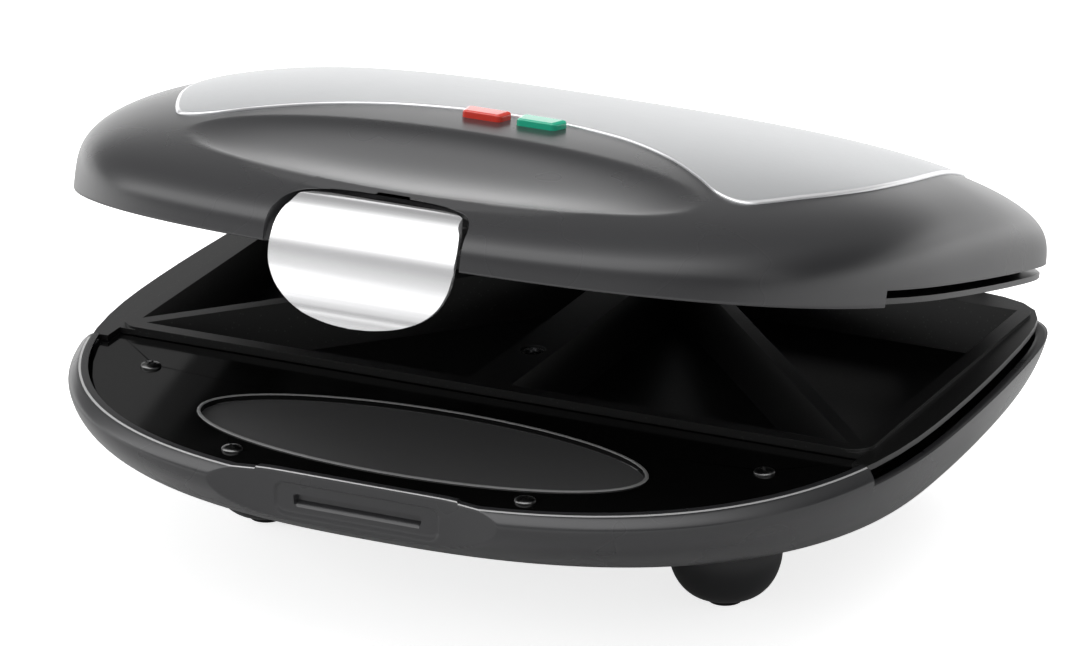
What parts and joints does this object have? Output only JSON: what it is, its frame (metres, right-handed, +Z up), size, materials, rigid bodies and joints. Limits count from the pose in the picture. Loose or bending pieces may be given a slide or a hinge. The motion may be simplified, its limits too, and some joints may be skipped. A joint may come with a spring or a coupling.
{
  "type": "sandwich toaster",
  "caption": "Sandwich toaster: domed dark grey shells hinged at the back, silver top cover, non-stick plates with diagonal cutting ridges, chrome front latch and indicator lenses.",
  "frame": {"origin": "centre of the bounding box at rest, at the height of the surface it stands on", "axes": "+X right seen from the front, -Y front where the latch is, +Y back where the hinge is, +Z up; at rest the lid stands open by the angle seen in the picture"},
  "size_m": [0.233, 0.225, 0.1172],
  "materials": {
    "shell_grey": "satin, fine grain",
    "deck_gloss_black": "gloss",
    "plate_nonstick": "satin non-stick coating",
    "cover_silver": "satin",
    "latch_chrome": "mirror",
    "screw_steel": "bright",
    "reflector_aluminium": "bright rolled",
    "foot_dark": "satin",
    "pad_rubber": "matte",
    "insulator_cream": "matte",
    "lead_white": "matte glass braid",
    "sleeve_black": "matte",
    "lens_red": "translucent gloss",
    "lens_green": "translucent gloss",
    "lamp_glass": "clear"
  },
  "bodies": {
    "base": {"base_shell": "shell_grey", "base_deck": "deck_gloss_black", "deck_screws": "screw_steel", "lower_plate": "plate_nonstick", "lower_plate_screws": "screw_steel", "lower_heater": "screw_steel", "lower_heater_clamps": "screw_steel", "lower_reflector": "reflector_aluminium", "thermostat": "insulator_cream", "lower_thermal_fuse": "insulator_cream", "terminal_block": "insulator_cream", "cord_gland": "deck_gloss_black", "base_leads": "lead_white", "foot_front_left": "foot_dark", "foot_front_right": "foot_dark", "foot_rear_left": "foot_dark", "foot_rear_right": "foot_dark", "pad_front_left": "pad_rubber", "pad_front_right": "pad_rubber", "pad_rear_left": "pad_rubber", "pad_rear_right": "pad_rubber", "hinge_bracket_left": "shell_grey", "hinge_bracket_right": "shell_grey", "hinge_bracket_screws": "screw_steel", "hinge_pin_left": "screw_steel", "hinge_pin_right": "screw_steel", "hinge_lead_base": "sleeve_black"},
    "lid": {"lid_shell": "shell_grey", "lid_top_cover": "cover_silver", "upper_deck": "deck_gloss_black", "upper_deck_screws": "screw_steel", "upper_plate": "plate_nonstick", "upper_plate_screws": "screw_steel", "upper_heater": "screw_steel", "upper_heater_clamps": "screw_steel", "upper_reflector": "reflector_aluminium", "upper_thermal_fuse": "insulator_cream", "lens_red": "lens_red", "lens_green": "lens_green", "lamp_holder": "insulator_cream", "neon_lamp_red": "lamp_glass", "neon_lamp_green": "lamp_glass", "hinge_arm_left": "shell_grey", "hinge_arm_right": "shell_grey", "hinge_arm_screws": "screw_steel", "lid_leads": "lead_white", "hinge_lead_lid": "sleeve_black", "latch_bracket": "deck_gloss_black", "latch_pin": "screw_steel"},
    "latch": {"latch": "latch_chrome"}
  },
  "joints": [
    {"name": "lid_hinge", "type": "hinge", "parent": "base", "child": "lid", "pos_m": [0, 0.10554, 0.0527], "axis": [-1, 0, 0], "range_deg": [-15.4, 80]},
    {"name": "latch_pivot", "type": "hinge", "parent": "lid", "child": "latch", "pos_m": [0, -0.09393, 0.11179], "axis": [-1, 0, 0], "range_deg": [-5, 8]}
  ]
}
